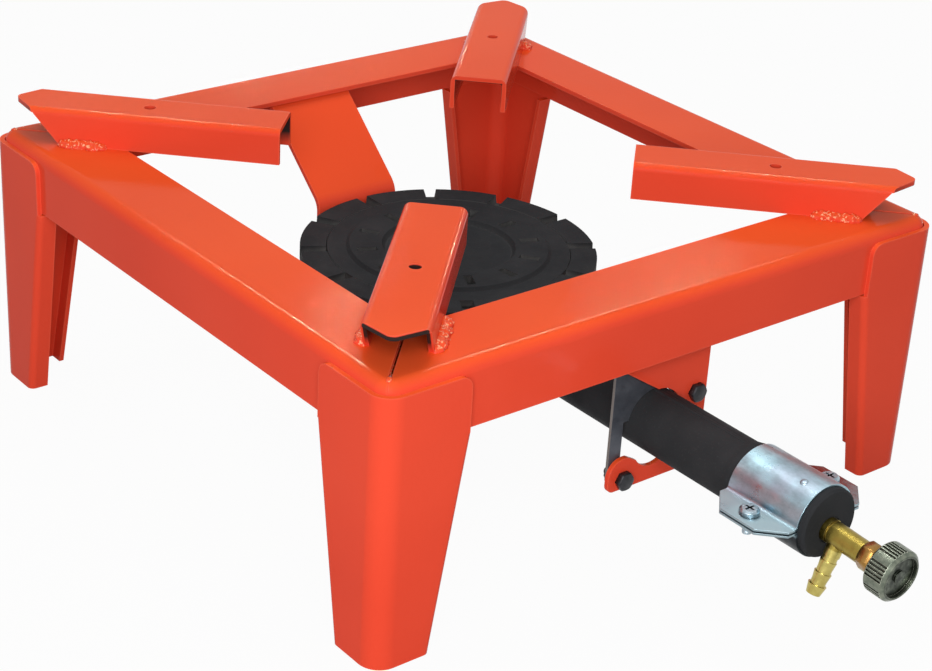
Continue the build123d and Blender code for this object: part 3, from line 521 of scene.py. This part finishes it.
# Welds at the feet of the pot supports, one bead along each side wall
FOOT_BEAD_REACH = 5.6 * MM
FOOT_BEAD_RISE = 4.2 * MM
BEAD_LENGTHS = {"rear_right": (10 * MM, 22 * MM), "rear_left": (28 * MM, 30 * MM),
                "front_left": (20 * MM, 40 * MM), "front_right": (30 * MM, 26 * MM)}
for corner_name, turn in CORNERS.items():
    along = Vector((cos(radians(turn)), sin(radians(turn)), 0))
    beads = []
    for side, length in zip((-1, 1), BEAD_LENGTHS[corner_name]):
        across = Vector((-along.y, along.x, 0)) * side
        foot = across * SUPPORT_HALF + UP * RAIL_TOP
        inner_end = foot + along * (SUPPORT_FOOT_END - length)
        outer_end = foot + along * (SUPPORT_FOOT_END + 1 * MM)
        beads.append(weld_bead(inner_end, outer_end, across, UP, FOOT_BEAD_REACH, FOOT_BEAD_RISE, 0.24,
                               turn / 45 + side))
    join_rings(f"support_weld_{corner_name}", beads, "orange_paint", "stove", weld_paint)


# Weld under each mitre, which closes the joint between two flanges from below, and its end on the corner
MITRE_START = 216.0 * MM  # inner end of a flange's diagonal, from the middle
MITRE_END = 271.3 * MM
MITRE_BEAD_REACH = 4.0 * MM
MITRE_BEAD_RISE = 3.2 * MM
SPOT_HALF = 1.6 * MM
SPOT_REACH = 3.2 * MM
SPOT_RISE = 0.9 * MM
for corner_name, turn in CORNERS.items():
    along = Vector((cos(radians(turn)), sin(radians(turn)), 0))
    across = Vector((-along.y, along.x, 0))
    under = UP * (RAIL_TOP - RAIL_SHEET + 0.8 * MM)
    seam = []
    for side in (-1, 1):
        seam.append(weld_bead(under + along * MITRE_START, under + along * (MITRE_END - 7 * MM),
                              across * side, -UP, MITRE_BEAD_REACH, MITRE_BEAD_RISE, 0.35,
                              turn / 45 + 3 * side))
    spot = along * MITRE_END + UP * (RAIL_TOP - 0.4 * MM)
    seam.append(weld_bead(spot - across * SPOT_HALF, spot + across * SPOT_HALF, along, UP,
                          SPOT_REACH, SPOT_RISE, 0.3, turn / 45))
    join_rings(f"mitre_weld_{corner_name}", seam, "orange_paint", "stove", weld_paint)


def across_axis(axis, first=Vector((1, 0, 0))):
    """Two directions square to an axis, the first as near as can be to the one given."""
    one = (first - axis * first.dot(axis)).normalized()
    return one, axis.cross(one)


def hexagon_rings(place, axis, flats, height, near=True):
    """Rings of a hexagon with its outer corners chamfered, standing on place along axis, with a corner
    towards X. Near chamfers the end at place too."""
    one, two = across_axis(axis)
    count = 48
    flat = flats / 2
    crown = 0.96 * flat
    slope = tan(radians(30))

    def ring(radius_at, height_at):
        points = []
        for k in range(count):
            turn = 2 * pi * k / count
            radius = flat / cos(turn % (pi / 3) - pi / 6)
            points.append(place + axis * height_at(radius)
                          + (one * cos(turn) + two * sin(turn)) * radius_at(radius))
        return points

    def bevel(radius):
        return (radius - crown) * slope

    rings = [ring(lambda r: r, lambda r: bevel(r) if near else 0.0),
             ring(lambda r: r, lambda r: height - bevel(r)),
             ring(lambda r: crown, lambda r: height)]
    if near:
        rings.insert(0, ring(lambda r: crown, lambda r: 0.0))
    return rings


def thread_rings(place, axis, length, radius, pitch, depth):
    """Rings of a screw thread, from place along axis, with a short plain point."""
    one, two = across_axis(axis)
    count = 24
    rows = max(4, round(length / pitch * 6))
    point = 0.5 * pitch
    rings = []
    for row in range(rows + 1):
        far = length * row / rows
        ring = []
        for k in range(count):
            turn = 2 * pi * k / count
            ridge = abs((far / pitch - k / count) % 1.0 - 0.5) * 2
            size = radius - depth * ridge - depth * max(0.0, 1 - (length - far) / point)
            ring.append(place + axis * far + (one * cos(turn) + two * sin(turn)) * size)
        rings.append(ring)
    return rings


# Bolts and nuts of the front bracket
bolt_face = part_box("burner_hanger")[0].y
nut_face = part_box("hanger_nuts")[0].y
nut_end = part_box("hanger_nuts")[1].y
bolt_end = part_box("hanger_bolts")[1].y
bolts, nuts = [], []
for bolt_x, bolt_z in BOLT_SPOTS:
    head_place = Vector((bolt_x, bolt_face, bolt_z))
    bolts.append(hexagon_rings(head_place, -AHEAD, BOLT_FLATS, BOLT_HEAD, near=False))
    bolts.append(thread_rings(head_place, AHEAD, bolt_end - bolt_face, BOLT_RADIUS, BOLT_PITCH,
                              BOLT_THREAD_DEPTH))
    nuts.append(hexagon_rings(Vector((bolt_x, nut_face, bolt_z)), AHEAD, BOLT_FLATS, nut_end - nut_face))
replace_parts(join_rings("hanger_bolt_pair", bolts, "black_steel", "stove"), "hanger_bolts")
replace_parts(join_rings("hanger_nut_pair", nuts, "black_steel", "stove"), "hanger_nuts")

# Bolt at the strap's foot
strap_head = Vector((0, STRAP_BOLT_Y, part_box("strap_bolt")[0].z))
strap_bolt_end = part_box("strap_bolt")[1].z
head_top = strap_head + UP * BOLT_HEAD
strap_bolt = [hexagon_rings(head_top, -UP, BOLT_FLATS, BOLT_HEAD, near=False),
              thread_rings(head_top, UP, strap_bolt_end - head_top.z, BOLT_RADIUS, BOLT_PITCH,
                           BOLT_THREAD_DEPTH)]
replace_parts(join_rings("strap_screw", strap_bolt, "black_steel", "stove"), "strap_bolt")

# Nuts and threads of the sleeve's screws
nut_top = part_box("sleeve_nuts")[1].z
nut_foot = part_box("sleeve_nuts")[0].z
screw_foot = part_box("sleeve_screws")[0].z
sleeve_nuts, sleeve_threads = [], []
for side in (-1, 1):
    spot = Vector((side * SCREW_X, SLEEVE_MIDDLE, nut_top))
    sleeve_nuts.append(hexagon_rings(spot, -UP, SCREW_NUT_FLATS, nut_top - nut_foot))
    thread_top = Vector((spot.x, spot.y, nut_foot + 1 * MM))
    sleeve_threads.append(thread_rings(thread_top, -UP, nut_foot + 0.9 * MM - screw_foot,
                                       SCREW_RADIUS + 0.15 * MM, SCREW_PITCH, SCREW_THREAD_DEPTH))
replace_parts(join_rings("sleeve_nut_pair", sleeve_nuts, "zinc_screw", "air_sleeve"), "sleeve_nuts")
join_rings("sleeve_screw_threads", sleeve_threads, "zinc_screw", "air_sleeve")

# Gland nut with its chamfered end
gland = hexagon_rings(VALVE_ORIGIN + VALVE_ALONG * GLAND_START, VALVE_ALONG, GLAND_FLATS, GLAND_HEIGHT)
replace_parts(join_rings("gland_hexagon", [gland], "brass", "stove"), "gland_nut")

# Small dimple pressed up in the sleeve near its front end
DIMPLE_ANGLE = radians(108.6)  # round the tube from +X
DIMPLE_Y = -303.8 * MM
DIMPLE_RADIUS = 2.3 * MM
DIMPLE_HEIGHT = 1.0 * MM
dimple_out = Vector((cos(DIMPLE_ANGLE), 0, sin(DIMPLE_ANGLE)))
dimple_place = Vector((0, DIMPLE_Y, TUBE_Z)) + dimple_out * (SLEEVE_RADIUS - 0.25 * MM)
dimple_one, dimple_two = across_axis(dimple_out, AHEAD)
DIMPLE_SIDES = 24
DIMPLE_ROWS = 8
dimple = []
for row in range(DIMPLE_ROWS):
    lift = pi / 2 * row / (DIMPLE_ROWS - 0.5)
    raised = dimple_place + dimple_out * DIMPLE_HEIGHT * sin(lift)
    dimple_ring = []
    for k in range(DIMPLE_SIDES):
        turn = 2 * pi * k / DIMPLE_SIDES
        round_about = dimple_one * cos(turn) + dimple_two * sin(turn)
        dimple_ring.append(raised + round_about * DIMPLE_RADIUS * cos(lift))
    dimple.append(dimple_ring)
join_rings("sleeve_dimple", [dimple], "zinc_sheet", "air_sleeve")

# Parting ridge along the top of the mixing tube, ground down at both ends
RIDGE_HALF = 1.6 * MM
RIDGE_HEIGHT = 0.45 * MM
RIDGE_END = TUBE_END + 62.0 * MM
RIDGE_SHARES = (-1.0, -0.6, -0.25, 0.0, 0.25, 0.6, 1.0)  # across the ridge, as shares of its half width
RIDGE_SUNK = 0.03 * MM
RIDGE_ROOT = 1.0 * MM  # depth of the ridge's lowest point in the tube
RIDGE_STEPS = 120
ridge = []
for row in range(RIDGE_STEPS + 1):
    y = RIDGE_END + (BOWL_FRONT - RIDGE_END) * row / RIDGE_STEPS
    uneven = 0.8 + 0.5 * noise.noise(Vector((0, y * 90, 2)))
    faded = min(1.0, 0.15 * min(row, RIDGE_STEPS - row))
    rise = RIDGE_HEIGHT * uneven * faded
    ridge_ring = []
    for share in RIDGE_SHARES:
        x = RIDGE_HALF * share
        skin = TUBE_Z + sqrt(TUBE_RADIUS**2 - x**2)
        ridge_ring.append(Vector((x, y, skin + rise * (1 - share * share) - RIDGE_SUNK)))
    ridge_ring.append(Vector((0, y, TUBE_Z + TUBE_RADIUS - RIDGE_ROOT)))
    ridge.append(ridge_ring)
join_rings("tube_parting_ridge", [ridge], "cast_iron", "stove")


# Stage
FLOOR_REACH = 6.0
FLOOR_DROP = 0.3 * MM
FLOOR_GREY = 0.45
FLOOR_WHITE = 0.96  # share of plain white in what the lens and mirrors see of the floor


def plain_floor():
    """A pale level floor just under the legs, which keeps the shadow."""
    mesh = bpy.data.meshes.new("floor")
    corners = [(x * FLOOR_REACH, y * FLOOR_REACH, 0) for x, y in ((-1, -1), (1, -1), (1, 1), (-1, 1))]
    mesh.from_pydata(corners, [], [(0, 1, 2, 3)])
    floor = bpy.data.objects.new("floor", mesh)
    floor.location.z = -FLOOR_DROP
    bpy.context.scene.collection.objects.link(floor)
    material = bpy.data.materials.new("floor_white")
    material.use_nodes = True
    tree = material.node_tree
    shader = tree.nodes["Principled BSDF"]
    shader.inputs["Base Color"].default_value = rgb(FLOOR_GREY, FLOOR_GREY, FLOOR_GREY)
    shader.inputs["Roughness"].default_value = 0.9
    glow = tree.nodes.new("ShaderNodeEmission")
    glow.inputs["Color"].default_value = rgb(1.0, 1.0, 1.0)
    share = add_mix(tree, shader.outputs["BSDF"], glow.outputs["Emission"],
                    tree.nodes["Material Output"].inputs["Surface"])
    tree.links.new(seen_directly(tree, FLOOR_WHITE), share)
    material.cycles.emission_sampling = "NONE"
    mesh.materials.append(material)


def seen_directly(tree, share):
    """That share for camera, glossy and transmission rays, and 0 for the rays that light the object."""
    rays = tree.nodes.new("ShaderNodeLightPath").outputs
    total = rays["Is Camera Ray"]
    for kind in ("Is Glossy Ray", "Is Transmission Ray"):
        both = tree.nodes.new("ShaderNodeMath")
        both.operation = "MAXIMUM"
        tree.links.new(total, both.inputs[0])
        tree.links.new(rays[kind], both.inputs[1])
        total = both.outputs["Value"]
    scaled = tree.nodes.new("ShaderNodeMath")
    scaled.operation = "MULTIPLY"
    tree.links.new(total, scaled.inputs[0])
    scaled.inputs[1].default_value = share
    return scaled.outputs["Value"]


def add_mix(tree, first, second, target):
    """Mix two shaders into target, and give the socket for the second one's share."""
    mixer = tree.nodes.new("ShaderNodeMixShader")
    tree.links.new(first, mixer.inputs[1])
    tree.links.new(second, mixer.inputs[2])
    tree.links.new(mixer.outputs["Shader"], target)
    return mixer.inputs["Fac"]


def studio_world(ambient):
    """A world that lights the object evenly and looks white to the lens and in mirrors."""
    world = bpy.data.worlds.new("studio")
    world.use_nodes = True
    world.cycles.sampling_method = "NONE"
    bpy.context.scene.world = world
    tree = world.node_tree
    dim = tree.nodes["Background"]
    dim.inputs["Color"].default_value = rgb(1.0, 1.0, 1.0)
    dim.inputs["Strength"].default_value = ambient
    white = tree.nodes.new("ShaderNodeBackground")
    white.inputs["Color"].default_value = rgb(1.0, 1.0, 1.0)
    white.inputs["Strength"].default_value = 1.0
    share = add_mix(tree, dim.outputs["Background"], white.outputs["Background"],
                    tree.nodes["World Output"].inputs["Surface"])
    tree.links.new(seen_directly(tree, 1.0), share)


def softbox(name, place, target, size, power, along=None):
    """A rectangular lamp; its first side lies level, or as near as can be to along."""
    lamp = bpy.data.lights.new(name, "AREA")
    lamp.shape = "RECTANGLE"
    lamp.size, lamp.size_y = size
    lamp.energy = power
    lamp.cycles.use_multiple_importance_sampling = False
    holder = bpy.data.objects.new(name, lamp)
    back = (Vector(place) - Vector(target)).normalized()
    first, second = across_axis(back, Vector(along) if along else UP.cross(back))
    holder.matrix_world = Matrix.Translation(place) @ Matrix((first, second, back)).transposed().to_4x4()
    bpy.context.scene.collection.objects.link(holder)
    return holder


GLINT_COLOUR = (1.0, 0.86, 0.62)


def glint(name, place, target, size, power, along=None):
    """A warm lamp that is only mirrored, and only in the paint: it draws the lines of light along the
    bends."""
    holder = softbox(name, place, target, size, power, along)
    holder.data.color = GLINT_COLOUR
    holder.visible_diffuse = False
    holder.light_linking.receiver_collection = painted


def camera():
    """The photograph's viewpoint: place, bearing, height angle and tilt of the lens."""
    place = Vector((-0.7522, -0.9210, 0.6530))
    bearing, height, tilt = radians(-39.78), radians(26.664), radians(3.435)
    back = Vector((sin(bearing) * cos(height), -cos(bearing) * cos(height), sin(height)))
    level = Vector((cos(bearing), sin(bearing), 0))
    raised = back.cross(level)
    right = level * cos(tilt) + raised * sin(tilt)
    lens = bpy.data.cameras.new("photo_view")
    lens.sensor_fit = "HORIZONTAL"  # lens length and sensor width are in millimetres
    lens.sensor_width = 36.0
    lens.lens = 82.45
    lens.clip_end = 50.0
    holder = bpy.data.objects.new("photo_view", lens)
    facing = Matrix((right, back.cross(right), back)).transposed().to_4x4()
    holder.matrix_world = Matrix.Translation(place) @ facing
    bpy.context.scene.collection.objects.link(holder)
    bpy.context.scene.camera = holder


plain_floor()
studio_world(0.30)
# Each lamp has its place, what it faces, its two sides in metres, its power in watts and the first side's way
softbox("key", (-0.80, -0.98, 0.72), (0.0, 0.0, 0.12), (0.70, 0.70), 12.6)
softbox("top", (0.05, 0.10, 1.60), (0.0, 0.0, 0.15), (1.0, 1.0), 7.8)
softbox("left", (-1.35, -0.75, 0.6), (-0.1, -0.1, 0.12), (0.6, 0.6), 2.6)
rear = softbox("rear", (0.52, 0.26, 1.05), (0.15, 0.10, 0.17), (0.5, 0.5), 1.6)
rear.visible_glossy = False
painted = bpy.data.collections.new("painted")
for piece in list(bpy.context.scene.objects):
    if piece.type == "MESH" and any(m and m.name.endswith("enamel") for m in piece.data.materials):
        painted.objects.link(piece)
glint("back_strip", (0.275, 1.11, 1.10), (-0.10, 0.0, 0.166), (0.7, 0.05), 4.0)
glint("right_strip", (0.96, 0.44, 1.19), (0.0, -0.10, 0.166), (0.7, 0.05), 5.0)
glint("left_support_box", (0.275, 1.03, 1.27), (-0.13, 0.13, 0.188), (0.55, 0.25), 15.0, (0.52, 0.52, -0.68))
glint("right_support_box", (0.85, 0.48, 1.29), (0.13, -0.13, 0.188), (0.55, 0.22), 11.0, (0.51, 0.51, -0.69))
glint("low_strip", (0.65, 1.36, 0.53), (0.0, 0.0, 0.188), (0.5, 0.1), 2.5)
glint("right_glint", (1.21, 0.44, 0.52), (-0.13, -0.13, 0.188), (0.08, 0.08), 1.6)
glint("right_window", (0.866, 0.683, 0.77), (0.0, -0.15, 0.17), (0.18, 0.015), 0.35, (1.0, 0.0, 0.0))
glint("back_window", (0.520, 0.83, 0.74), (-0.15, -0.12, 0.17), (0.26, 0.015), 0.30, (1.0, 1.0, 0.0))
camera()
bpy.context.scene.view_settings.view_transform = "Standard"
